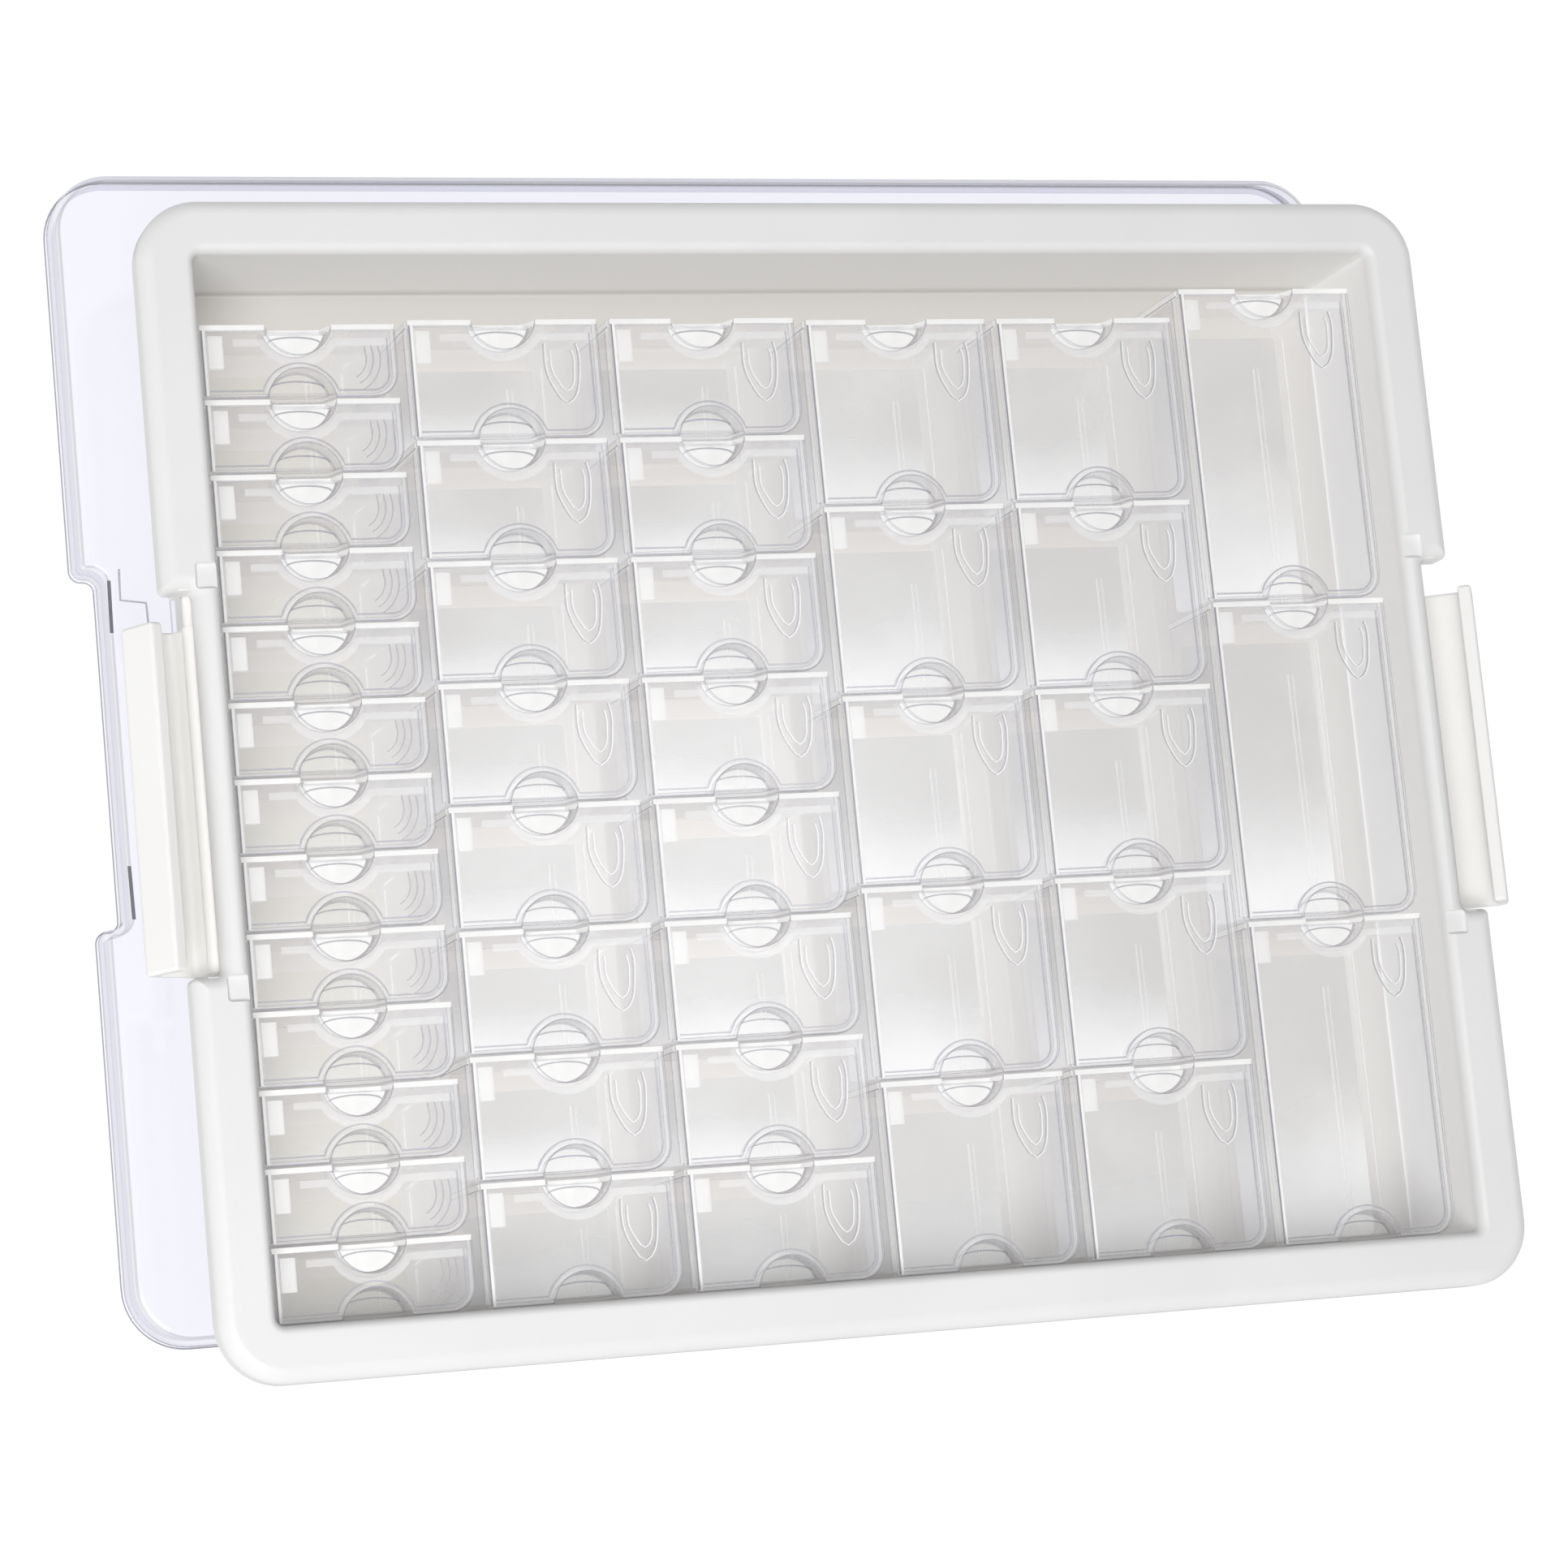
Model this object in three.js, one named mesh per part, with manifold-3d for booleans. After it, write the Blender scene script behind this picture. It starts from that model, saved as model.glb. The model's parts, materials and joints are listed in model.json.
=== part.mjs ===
// Parts sorting tray: a white moulded tray with a wide rolled rim, 42 clear flip-lid
// containers in six columns, a clear cover and two swinging side latches.
// Frame: millimetres, +Z up, +X along the long side, origin on the table plane under
// the middle of the whole outline, over the cover, the tray and the opened latches.
// The cover lies flat on the table with the tray on it. Dimensions are drawn from the
// middle of the tray, and the last group moves them to the origin.
import * as THREE from "three";
import { mergeVertices } from "three/addons/utils/BufferGeometryUtils.js";
import Module from "manifold-3d";

const wasm = await Module();
wasm.setup();

// ---- driving dimensions -------------------------------------------------
const GAP = 0.3; // air between neighbouring pieces
const OVER = 1; // how far a cutter runs past the face it opens

// cover
const COVER_X = 167, COVER_Y = 140.5; // half sizes over the skirt
const COVER_R = 15; // plan corner radius
const COVER_WALL = 2; // sheet thickness
const COVER_FLANGE_Z = 9.5; // top of the flat margin
const COVER_PANEL_Z = 12; // top of the raised panel
const COVER_MARGIN = 24; // margin width outside the raised panel
const COVER_AT = [-8, 15.5]; // middle of the cover, relative to the tray
const COVER_NOTCH_HALF = 41.75, COVER_NOTCH_DEEP = 5.6; // latch recess, along Y and X

// tray
const TRAY_Z = COVER_PANEL_Z + GAP;
const INSIDE_X = 150.5, INSIDE_Y = 123.75, INSIDE_R = 2; // half sizes and corner radius
const TRAY_WALL = 2.4, TRAY_FLOOR = 2.2;
const TRAY_H = 40; // over the rim
const RIM_W = 13; // rim width, from the inside face
const RIM_SKIRT = 9; // height of the rim's skirt
const RECESS_HALF = 44.25; // half length of the recess that holds a latch
const RECESS_X = 156.4; // outer face of the rim inside that recess
const RECESS_SKIRT_T = 1.8; // thickness of the recess's own short skirt

// latch
const PIVOT_X = 156, PIVOT_H = 31.1; // pivot axis, PIVOT_H above the tray's underside
const PIVOT_PIN_R = 1.8, PIVOT_BORE_R = 2.15;
const LATCH_HALF = 40; // half length of the plate
const LATCH_T = 3;
const LATCH_OUT = 8.9, LATCH_TOP = 14.8, LATCH_LIP = -3; // closed reach from the pivot
const LATCH_SLIDE = -2.9; // where each latch sits in its recess, along Y
const LATCH_OPEN = 61; // degrees swung out from closed

// containers
const BOX_L = 47, BOX_H = 27.5;
const BOX_WALL = 1.2, BOX_CORNER_R = 6;
const RAMP_R = 8; // sweep from the floor up into the end wall
const POCKET_R = 8.07, POCKET_OUT = 1.07, POCKET_DEEP = 5; // finger pockets, long edges
const LID_T = 1.2;
const LID_Z = BOX_H - LID_T; // underside of the lid
const HINGE_X = 1.3, HINGE_Z = BOX_H - 3;
const HINGE_PIN_R = 0.45, HINGE_BORE_R = 0.65;
const LID_START_X = HINGE_X + 0.5; // hinge-side edge of the lid plate

// The top `lids` containers of a column have separate lids; the rest are closed
// containers, each in one piece with its lid. `first` is the number of the top one.
const COLUMNS = [
  { kind: "tiny", digits: 2, count: 13, pitch: 17.9, first: 1, lids: 3 },
  { kind: "small", digits: 2, count: 8, pitch: 29.2, first: 1, lids: 0 },
  { kind: "small", digits: 2, count: 8, pitch: 29.2, first: 9, lids: 3 },
  { kind: "medium", digits: 2, count: 5, pitch: 46.6, first: 1, lids: 0 },
  { kind: "medium", digits: 2, count: 5, pitch: 46.6, first: 6, lids: 5 },
  { kind: "large", digits: 1, count: 3, pitch: 80.1, first: 1, lids: 3 },
];
const COLUMN_PITCH = 50;
const BOX_SPACE = 0.5; // between containers of one column
const COLUMNS_X = -((COLUMNS.length - 1) * COLUMN_PITCH + BOX_L) / 2; // left edge
const COLUMNS_Y = -INSIDE_Y + BOX_SPACE; // near edge

// middle of the whole outline: X from the cover's left skirt to the open right latch,
// Y from the tray's near rim to the cover's far skirt
const MIDDLE = [-1.26, (COVER_AT[1] + COVER_Y - INSIDE_Y - RIM_W) / 2];

// ---- helpers ------------------------------------------------------------
const radians = (degrees) => (degrees * Math.PI) / 180;
// a range along an axis, mirrored about zero when sign is -1
const span = (sign, from, to) => (sign > 0 ? [from, to] : [-to, -from]);

function solid(geometry) {
  geometry.deleteAttribute("normal");
  geometry.deleteAttribute("uv");
  const merged = mergeVertices(geometry, 1e-4);
  return new wasm.Manifold(
    new wasm.Mesh({
      numProp: 3,
      vertProperties: new Float32Array(merged.attributes.position.array),
      triVerts: new Uint32Array(merged.index.array),
    }),
  );
}

function bufferGeometry(positions, indices) {
  const geometry = new THREE.BufferGeometry();
  geometry.setAttribute("position", new THREE.BufferAttribute(new Float32Array(positions), 3));
  geometry.setIndex(new THREE.BufferAttribute(new Uint32Array(indices), 1));
  return geometry;
}

function meshOf(name, manifold, material) {
  const { vertProperties, triVerts } = manifold.getMesh();
  const geometry = bufferGeometry(vertProperties, triVerts);
  geometry.computeVertexNormals();
  const mesh = new THREE.Mesh(geometry, material);
  mesh.name = name;
  return mesh;
}

function extrude(points, depth) {
  const shape = new THREE.Shape(points.map(([x, y]) => new THREE.Vector2(x, y)));
  return new THREE.ExtrudeGeometry(shape, { depth, bevelEnabled: false });
}

// straight prism over a plan outline
function prismZ(points, [z0, z1]) {
  return solid(extrude(points, z1 - z0).translate(0, 0, z0));
}

// prism over an outline in X and Z, running along Y
function prismY(points, [y0, y1]) {
  return solid(extrude(points, y1 - y0).rotateX(Math.PI / 2).translate(0, y1, 0));
}

function block([x0, x1], [y0, y1], [z0, z1]) {
  const geometry = new THREE.BoxGeometry(x1 - x0, y1 - y0, z1 - z0);
  return solid(geometry.translate((x0 + x1) / 2, (y0 + y1) / 2, (z0 + z1) / 2));
}

function rodZ(radius, x, y, [z0, z1], segments) {
  const geometry = new THREE.CylinderGeometry(radius, radius, z1 - z0, segments);
  return solid(geometry.rotateX(Math.PI / 2).translate(x, y, (z0 + z1) / 2));
}

function rodY(radius, x, z, [y0, y1], segments) {
  const geometry = new THREE.CylinderGeometry(radius, radius, y1 - y0, segments);
  return solid(geometry.translate(x, (y0 + y1) / 2, z));
}

// rounded rectangle ring, anticlockwise
function ring(halfX, halfY, radius, segments) {
  const points = [];
  for (const [signX, signY, start] of [[1, 1, 0], [-1, 1, 90], [-1, -1, 180], [1, -1, 270]])
    for (let i = 0; i <= segments; i++) {
      const angle = radians(start + (90 * i) / segments);
      points.push([
        signX * (halfX - radius) + radius * Math.cos(angle),
        signY * (halfY - radius) + radius * Math.sin(angle),
      ]);
    }
  return points;
}

// a tray-like shell: profile points [outward offset, z] run from the middle of the
// underside, out and over, to the middle of the inside
function bowl(halfX, halfY, radius, segments, profile) {
  const minRadius = 0.6;
  const count = 4 * (segments + 1); // points in one ring
  const positions = [];
  const indices = [];
  for (const [out, z] of profile) {
    const cornerR = Math.max(radius + out, minRadius);
    for (const [x, y] of ring(halfX + out, halfY + out, cornerR, segments))
      positions.push(x, y, z);
  }
  for (let k = 0; k + 1 < profile.length; k++)
    for (let i = 0; i < count; i++) {
      const a = k * count + i;
      const b = k * count + ((i + 1) % count);
      indices.push(a, b, b + count, a, b + count, a + count);
    }
  // close the first and last rings with fans about their middles
  const bottom = profile.length * count;
  const last = bottom - count;
  positions.push(0, 0, profile[0][1], 0, 0, profile[profile.length - 1][1]);
  for (let i = 0; i < count; i++) {
    const j = (i + 1) % count;
    indices.push(bottom, j, i, bottom + 1, last + i, last + j);
  }
  return solid(bufferGeometry(positions, indices));
}

// ---- materials ----------------------------------------------------------
const plastic = (look) => new THREE.MeshStandardMaterial({ metalness: 0, ...look });
const clearPlastic = (look) => plastic({ transparent: true, opacity: 0.35, ...look });

const trayWhite = plastic({ color: 0xeeeeec, roughness: 0.42 });
const latchWhite = plastic({ color: 0xf2f1ee, roughness: 0.38 });
const clearBox = clearPlastic({ color: 0xe6e8ec, roughness: 0.08 });
const clearLid = clearPlastic({ color: 0xf0f1f4, roughness: 0.08 });
const clearCover = clearPlastic({ color: 0xececf8, roughness: 0.06 });

// ---- cover --------------------------------------------------------------
function coverMesh() {
  const wall = COVER_WALL, flange = COVER_FLANGE_Z, panel = COVER_PANEL_Z;
  const step = -COVER_MARGIN; // outward offset of the raised panel
  let body = bowl(COVER_X, COVER_Y, COVER_R, 5, [
    // underside
    [step + 0.5, panel - wall], [step + 1.5, panel - wall - 0.2],
    [step + 3, flange - wall], [-wall, flange - wall], [-wall, 0],
    // outside
    [0, 0], [0, flange - 2.6], [-0.8, flange - 0.8], [-2.6, flange],
    [step + 3.6, flange], [step + 0.9, panel],
  ]);
  const notchX = COVER_X - COVER_NOTCH_DEEP;
  const half = COVER_NOTCH_HALF;
  for (const side of [1, -1]) {
    // latch recess, its long wall and its two end walls
    body = body.subtract(
      block(span(side, notchX, COVER_X + OVER), [-half, half], [-OVER, flange + OVER]));
    body = body.add(
      block(span(side, notchX - wall, notchX), [-half - wall, half + wall], [0, flange - 0.6]));
    for (const end of [1, -1])
      body = body.add(block(
        span(side, notchX - wall, COVER_X - 0.6), span(end, half, half + wall), [0, flange - 1.2]));
  }
  const mesh = meshOf("clear_cover", body, clearCover);
  mesh.position.set(...COVER_AT, 0);
  return mesh;
}

// ---- tray ---------------------------------------------------------------
function trayMesh() {
  const top = TRAY_H, rim = RIM_W, wall = TRAY_WALL, half = RECESS_HALF;
  const skirtZ = top - RIM_SKIRT; // lower edge of the rim's skirt
  let body = bowl(INSIDE_X, INSIDE_Y, INSIDE_R, 4, [
    // outside wall, then the underside of the rim
    [wall - 1.6, 0], [wall, 1.6], [wall, top - wall], [rim - wall, top - wall],
    [rim - wall, skirtZ], [rim, skirtZ],
    // over the rolled rim
    [rim, top - 4.2], [rim - 1, top - 1.5], [rim - 3.6, top], [4.2, top],
    [1.3, top - 0.7], [0, top - 2.6],
    // inside
    [0, TRAY_FLOOR + 0.3], [-0.3, TRAY_FLOOR],
  ]);
  const skirtX = RECESS_X - RECESS_SKIRT_T;
  for (const side of [1, -1]) {
    // recess for the latch, with its own short skirt
    body = body.subtract(block(
      span(side, RECESS_X, INSIDE_X + rim + 2 * OVER), [-half, half], [skirtZ - 4, top + 2 * OVER]));
    body = body.add(
      block(span(side, skirtX, RECESS_X), [-half - 0.6, half + 0.6], [top - 6, top - 1.2]));
    for (const end of [1, -1]) {
      // distances beyond the end of the recess
      const beyond = (from, to) => span(end, half + from, half + to);
      // closed flange end
      body = body.add(block(
        span(side, skirtX, INSIDE_X + rim - 0.9), beyond(0, wall), [skirtZ, top - 1.8]));
      // hinge lug
      body = body.add(
        block(span(side, INSIDE_X + 1, 160), beyond(0, wall), [top - 13, skirtZ + 1]));
      // pocket in the inside face beside the recess: a block, then its hollow
      body = body.add(
        block(span(side, INSIDE_X + 1, RECESS_X - 0.2), beyond(0, 10), [top - 12, top - 1]));
      body = body.subtract(block(
        span(side, INSIDE_X - OVER, INSIDE_X + 2.8), beyond(0.2, 8), [top - 9, top + 2 * OVER]));
      // bore for the latch pin
      body = body.subtract(rodY(PIVOT_BORE_R, side * PIVOT_X, PIVOT_H, beyond(-0.5, 12), 12));
    }
  }
  const mesh = meshOf("tray", body, trayWhite);
  mesh.position.set(0, 0, TRAY_Z);
  return mesh;
}

// ---- latches ------------------------------------------------------------
// drawn closed on the right, about the pivot; side is 1 for the right, -1 for the left
function latchMesh(name, side) {
  const out = LATCH_OUT, top = LATCH_TOP, lip = LATCH_LIP;
  const innerX = out - LATCH_T, innerTop = top - LATCH_T;
  const outline = [ // [x, z]
    [0, -2], [out - 2, -2], [out, 0], [out, top - 1.6], [out - 1.6, top],
    [lip + 0.6, top], [lip, top - 0.6], [lip, innerTop - 0.4],
    [lip + 1, innerTop - 0.4], [lip + 2, innerTop], [innerX - 0.6, innerTop],
    [innerX, innerTop - 0.6], [innerX, 1.6], [innerX - 0.6, 1], [0, 1],
  ];
  const half = LATCH_HALF, pinHalf = half + 10;
  const body = prismY(outline, [-half, half])
    .add(rodY(2, 0, 0, [-half, half], 12)) // barrel
    .add(rodY(PIVOT_PIN_R, 0, 0, [-pinHalf, pinHalf], 12));
  const mesh = meshOf(name, side > 0 ? body : body.mirror([1, 0, 0]), latchWhite);
  mesh.rotation.y = radians(side * LATCH_OPEN);
  mesh.position.set(side * PIVOT_X, LATCH_SLIDE, TRAY_Z + PIVOT_H);
  return mesh;
}

// ---- containers ---------------------------------------------------------
// local frame: x from the hinge end, y from the far edge (negative), z from the underside
function boxPlan(width, inset) {
  const radius = BOX_CORNER_R - inset;
  const points = [[inset, -inset], [inset, -width + inset]];
  for (let i = 0; i <= 3; i++) {
    const angle = radians(-90 + 30 * i);
    points.push([
      BOX_L - BOX_CORNER_R + radius * Math.cos(angle),
      -width + BOX_CORNER_R + radius * Math.sin(angle),
    ]);
  }
  points.push([BOX_L - inset, -inset]);
  return points;
}

// half-round finger pockets on both long edges, from z0 up past the top
function pockets(width, radius, z0) {
  const rod = (y) => rodZ(radius, BOX_L / 2, y, [z0, BOX_H + 2 * OVER], 12);
  return rod(POCKET_OUT).add(rod(-width - POCKET_OUT));
}
const pocketCutter = (width) => pockets(width, POCKET_R, BOX_H - POCKET_DEEP);

// the strip above `z` that is left open at the hinge end
const hingeStrip = (width, z) =>
  block([-OVER, LID_START_X], [-width - OVER, OVER], [z, BOX_H + OVER]);

// the floor sweeps up into the end wall, so that small parts can be slid out
function ramp(width) {
  const endX = BOX_L - BOX_WALL, centreX = endX - RAMP_R, centreZ = BOX_WALL + RAMP_R;
  const baseZ = BOX_WALL - 0.5;
  const points = [[centreX, baseZ]];
  for (let i = 3; i >= 0; i--) {
    const angle = radians(30 * i);
    points.push([centreX + RAMP_R * Math.cos(angle), centreZ - RAMP_R * Math.sin(angle)]);
  }
  points.push([endX + 1, centreZ], [endX + 1, baseZ]);
  return prismY(points, [-width, 0]);
}

function container(width, separateLid) {
  const wall = BOX_WALL, top = BOX_H;
  const outer = prismZ(boxPlan(width, 0), [0, separateLid ? LID_Z - GAP : top]);
  const hollow = prismZ(boxPlan(width, wall), [wall, separateLid ? top + OVER : LID_Z])
    .subtract(ramp(width))
    .subtract(pockets(width, POCKET_R + 1, top - POCKET_DEEP - wall));
  let body = outer.subtract(hollow).subtract(pocketCutter(width));
  if (!separateLid) {
    // the gap at the edge of the closed lid, inside the far finger pocket
    const middle = BOX_L / 2;
    return body.subtract(block([middle - 3, middle + 3], [-9, -5], [top - 2.6, top - 1.5]));
  }
  body = body.subtract(hingeStrip(width, top - 2));
  // lower the end wall between the side walls, for the lid's hinge leaf
  body = body.subtract(
    block([-OVER, wall + 0.1], [-width + wall, -wall], [top - 4.6, top + OVER]));
  for (const range of [[-wall - 0.1, OVER], [-width - OVER, -width + wall + 0.1]])
    body = body.subtract(rodY(HINGE_BORE_R, HINGE_X, HINGE_Z, range, 6));
  return body;
}

function lid(width) {
  return prismZ(boxPlan(width, 0), [LID_Z, BOX_H])
    .subtract(hingeStrip(width, LID_Z - OVER))
    .subtract(pocketCutter(width))
    .add(block([0.2, 2.4], [-width + 1.5, -1.5], [BOX_H - 3.9, BOX_H - 0.2])) // hinge leaf
    .add(rodY(HINGE_PIN_R, HINGE_X, HINGE_Z, [-width + 0.4, -0.4], 6));
}

// one group per container, from the far end of the column to the near end
function columnSlots({ kind, digits, count, pitch, first, lids }, column) {
  const width = pitch - BOX_SPACE;
  const farY = COLUMNS_Y + count * pitch - BOX_SPACE;
  return Array.from({ length: count }, (_, row) => {
    const id = String(first + row).padStart(digits, "0");
    const hasLid = row < lids;
    const slot = new THREE.Group();
    slot.position.set(
      COLUMNS_X + column * COLUMN_PITCH, farY - row * pitch, TRAY_Z + TRAY_FLOOR + GAP);
    slot.add(meshOf(`${kind}_box_${id}`, container(width, hasLid), clearBox));
    if (hasLid) slot.add(meshOf(`${kind}_lid_${id}`, lid(width), clearLid));
    return slot;
  });
}

// ---- assembly -----------------------------------------------------------
const laidOut = new THREE.Group();
laidOut.position.set(-MIDDLE[0], -MIDDLE[1], 0);
laidOut.add(coverMesh(), trayMesh(), latchMesh("latch_left", -1), latchMesh("latch_right", 1));
laidOut.add(...COLUMNS.flatMap(columnSlots));

const root = new THREE.Group();
root.add(laidOut);

export default root;
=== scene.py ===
"""Looks of the parts sorting tray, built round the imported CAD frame.

A white tray has a latch at each short side, a clear cover, and clear boxes with hinged lids.
X runs along the tray's long sides, from left to right, Y from the near side to the far side,
and Z up. Meshes are built in millimetres; materials, lights and camera are in metres.
"""
import functools
import json
import math

import bmesh
import bpy
from mathutils import Matrix, Vector
from mathutils.geometry import tessellate_polygon

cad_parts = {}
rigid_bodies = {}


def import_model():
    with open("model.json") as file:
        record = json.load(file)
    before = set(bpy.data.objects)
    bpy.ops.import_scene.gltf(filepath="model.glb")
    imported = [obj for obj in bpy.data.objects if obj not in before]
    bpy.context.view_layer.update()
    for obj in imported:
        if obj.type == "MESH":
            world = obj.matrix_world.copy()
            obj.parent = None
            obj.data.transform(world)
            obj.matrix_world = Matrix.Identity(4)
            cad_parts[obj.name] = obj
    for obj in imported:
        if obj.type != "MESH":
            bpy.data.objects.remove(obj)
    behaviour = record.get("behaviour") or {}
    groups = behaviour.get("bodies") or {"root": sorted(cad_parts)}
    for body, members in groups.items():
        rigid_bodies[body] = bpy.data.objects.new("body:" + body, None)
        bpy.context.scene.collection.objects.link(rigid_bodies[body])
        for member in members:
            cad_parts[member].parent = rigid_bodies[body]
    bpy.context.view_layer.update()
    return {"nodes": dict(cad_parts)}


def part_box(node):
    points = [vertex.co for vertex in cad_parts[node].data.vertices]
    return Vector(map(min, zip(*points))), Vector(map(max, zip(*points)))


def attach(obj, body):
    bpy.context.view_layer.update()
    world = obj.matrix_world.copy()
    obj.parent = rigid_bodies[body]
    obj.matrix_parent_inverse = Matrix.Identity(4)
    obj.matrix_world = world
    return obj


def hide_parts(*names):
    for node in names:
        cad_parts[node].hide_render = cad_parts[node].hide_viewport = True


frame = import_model()
MM = 0.001
SHARP_ANGLE = math.radians(32)

# ------------------------------------------------------------------ shader graphs


class Graph:
    """The node tree of a material or world, with short ways to add nodes."""

    def __init__(self, owner):
        self.owner = owner
        owner.use_nodes = True
        self.tree = owner.node_tree

    def feed(self, socket, value):
        """Link a socket to a node or an output, or set its number, vector or RGB colour."""
        if isinstance(value, bpy.types.Node):
            value = value.outputs[0]
        if isinstance(value, bpy.types.NodeSocket):
            self.tree.links.new(value, socket)
        elif socket.type == "RGBA":
            socket.default_value = (*value, 1)
        else:
            socket.default_value = value

    def node(self, kind, *values, **named):
        """A node with its first inputs fed in order, and others by name."""
        node = self.tree.nodes.new("ShaderNode" + kind)
        for i, value in enumerate(values):
            self.feed(node.inputs[i], value)
        for name, value in named.items():
            self.feed(node.inputs[name.replace("_", " ")], value)
        return node

    def maths(self, operation, *values, clamp=False):
        node = self.node("Math", *values)
        node.operation = operation
        node.use_clamp = clamp
        return node.outputs[0]

    def times(self, first, second, clamp=False):
        return self.maths("MULTIPLY", first, second, clamp=clamp)

    def mix(self, factor, first, second):
        """A colour between the first, at factor 0, and the second, at factor 1."""
        node = self.node("Mix")
        node.data_type = "RGBA"
        for i, value in ((0, factor), (6, first), (7, second)):
            self.feed(node.inputs[i], value)
        return node.outputs[2]

    def ramp(self, value, low, high):
        """A smooth step from 0 at low to 1 at high."""
        node = self.node("MapRange", Value=value, From_Min=low, From_Max=high)
        node.interpolation_type = "SMOOTHSTEP"
        return node.outputs["Result"]

    def fall(self, value, low, high):
        """A smooth step from 1 at low to 0 at high."""
        return self.maths("SUBTRACT", 1.0, self.ramp(value, low, high))

    def noise(self, scale, detail, stretch=(1, 1, 1)):
        place = self.node("TexCoord").outputs["Object"]
        vector = self.node("Mapping", Vector=place, Scale=stretch)
        return self.node("TexNoise", Vector=vector, Scale=scale, Detail=detail, Roughness=0.5)

    def position(self):
        """The X, Y and Z outputs of the object coordinates."""
        return self.node("SeparateXYZ", self.node("TexCoord").outputs["Object"]).outputs

    def facing(self):
        """0 where the surface faces the eye, 1 where it is seen edge on."""
        return self.node("LayerWeight", Blend=0.5).outputs["Facing"]

    def surface(self, shader):
        """Finish the material with this shader."""
        self.node("OutputMaterial", Surface=shader)
        return self.owner


def material_graph(name):
    graph = Graph(bpy.data.materials.new(name))
    graph.tree.nodes.clear()
    return graph


# ------------------------------------------------------------------ materials


def tray_painted_light_and_shade(graph, colour):
    """Painted shade down inside the tray, warmer and darker towards the floor, and painted light as
    a whiter band at the inner face of its short walls.
    """
    well_x, band_x, well_y = 0.1500, 0.1528, 0.1248  # half sizes of the shaded areas
    position = graph.position()
    down = graph.fall(position["Z"], low=0.0465, high=0.0515)
    across = graph.maths("ABSOLUTE", position["X"])
    along = graph.maths("ABSOLUTE", position["Y"])

    def less(value, limit):
        return graph.maths("LESS_THAN", value, limit)

    well = graph.times(less(across, well_x), less(along, well_y))
    near_floor = graph.fall(position["Z"], low=0.0148, high=0.0200)
    # painted shade: the wall colour above, darker and warmer near the floor
    shade = graph.mix(near_floor, (0.885, 0.875, 0.852), (0.655, 0.634, 0.602))
    in_band = graph.times(less(across, band_x), less(along, well_y))
    band = graph.times(graph.maths("GREATER_THAN", across, well_x), in_band)
    # painted light: a whiter band on the inner faces of the short walls
    colour = graph.mix(graph.times(down, band), colour, (0.99, 0.987, 0.98))
    return graph.mix(graph.times(down, well), colour, shade)


def latch_painted_shade(graph, colour):
    """Painted shade: a warmer, darker tone on the part of a latch nearest the tray."""
    across = graph.maths("ABSOLUTE", graph.position()["X"])
    return graph.mix(graph.fall(across, low=0.1570, high=0.1645), colour, (0.905, 0.892, 0.866))


def moulding(name, light, dark, rough, shading):
    """Opaque satin polypropylene: faint flow mottling, a fine grain, and painted shade that turns
    the colour dark grey where the surface is seen edge on.
    """
    graph = material_graph(name)
    mottle = graph.ramp(graph.noise(scale=22, detail=4), low=0.3, high=0.7)
    colour = shading(graph, graph.mix(mottle, dark, light))
    # painted shade: a dark grey outline where the surface is seen edge on
    rim = graph.times(graph.maths("POWER", graph.facing(), 7.0), 0.85, clamp=True)
    smooth, coarse = rough
    fine = graph.times(graph.noise(scale=1600, detail=2), 0.18)
    height = graph.maths("ADD", fine, graph.noise(scale=35, detail=2))
    return graph.surface(graph.node(
        "BsdfPrincipled", IOR=1.49, Specular_IOR_Level=0.5,
        Base_Color=graph.mix(rim, colour, (0.40, 0.40, 0.41)),
        Roughness=graph.maths("MULTIPLY_ADD", graph.noise(scale=60, detail=3),
                              coarse - smooth, smooth),
        Normal=graph.node("Bump", Strength=0.35, Distance=0.00032, Height=height)))


def clear(name, tint, graze, haze, haze_colour, rough, power=3.0, shine=1.0, ripple=0.0,
          sweep=0.0):
    """Clear moulded plastic as a thin sheet: what is behind shows through with a faint tint that
    turns to graze where the sheet is seen edge on, a little haze, and a mirror shine. Sweep adds
    white haze towards the near end, as painted light, and clouds."""
    graph = material_graph(name)
    facing = graph.facing()
    edge = graph.maths("POWER", facing, power)
    sheet = graph.node("BsdfTransparent", Color=graph.mix(edge, tint, graze))
    milk = graph.node("BsdfDiffuse", Color=haze_colour)
    gloss = graph.node("BsdfGlossy", Color=(0.97, 0.97, 0.98), Roughness=rough)
    # the same mirror share from both sides of the sheet
    mirror = graph.maths("MULTIPLY_ADD", graph.maths("POWER", facing, 5.0), 0.96, 0.04)
    if ripple:
        waves = graph.noise(scale=90, detail=2, stretch=(1, 0.35, 1))
        bump = graph.node("Bump", Strength=0.5, Distance=ripple, Height=waves)
        graph.feed(gloss.inputs["Normal"], bump)
    hazed = graph.node("MixShader", haze, sheet, milk)
    if sweep:
        # painted light: white haze growing towards the near end of the floor
        coords = graph.node("TexCoord").outputs
        near = graph.fall(graph.node("SeparateXYZ", coords["Generated"]).outputs["Y"],
                          low=0.02, high=0.58)
        amount = graph.maths("MULTIPLY_ADD", near, sweep, haze)
        # each object gets its own part of the cloud pattern
        shift = graph.times(graph.node("ObjectInfo").outputs["Random"], 3.0)
        vector = graph.node("VectorMath", coords["Object"], graph.node("CombineXYZ", shift))
        cloud = graph.node("TexNoise", Vector=vector, Scale=34.0, Detail=2.0, Roughness=0.45)
        patch = graph.times(graph.ramp(cloud, low=0.30, high=0.85), 0.24)
        graph.feed(hazed.inputs[0], graph.maths("ADD", amount, patch, clamp=True))
    return graph.surface(
        graph.node("MixShader", graph.times(mirror, shine, clamp=True), hazed, gloss))


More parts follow.
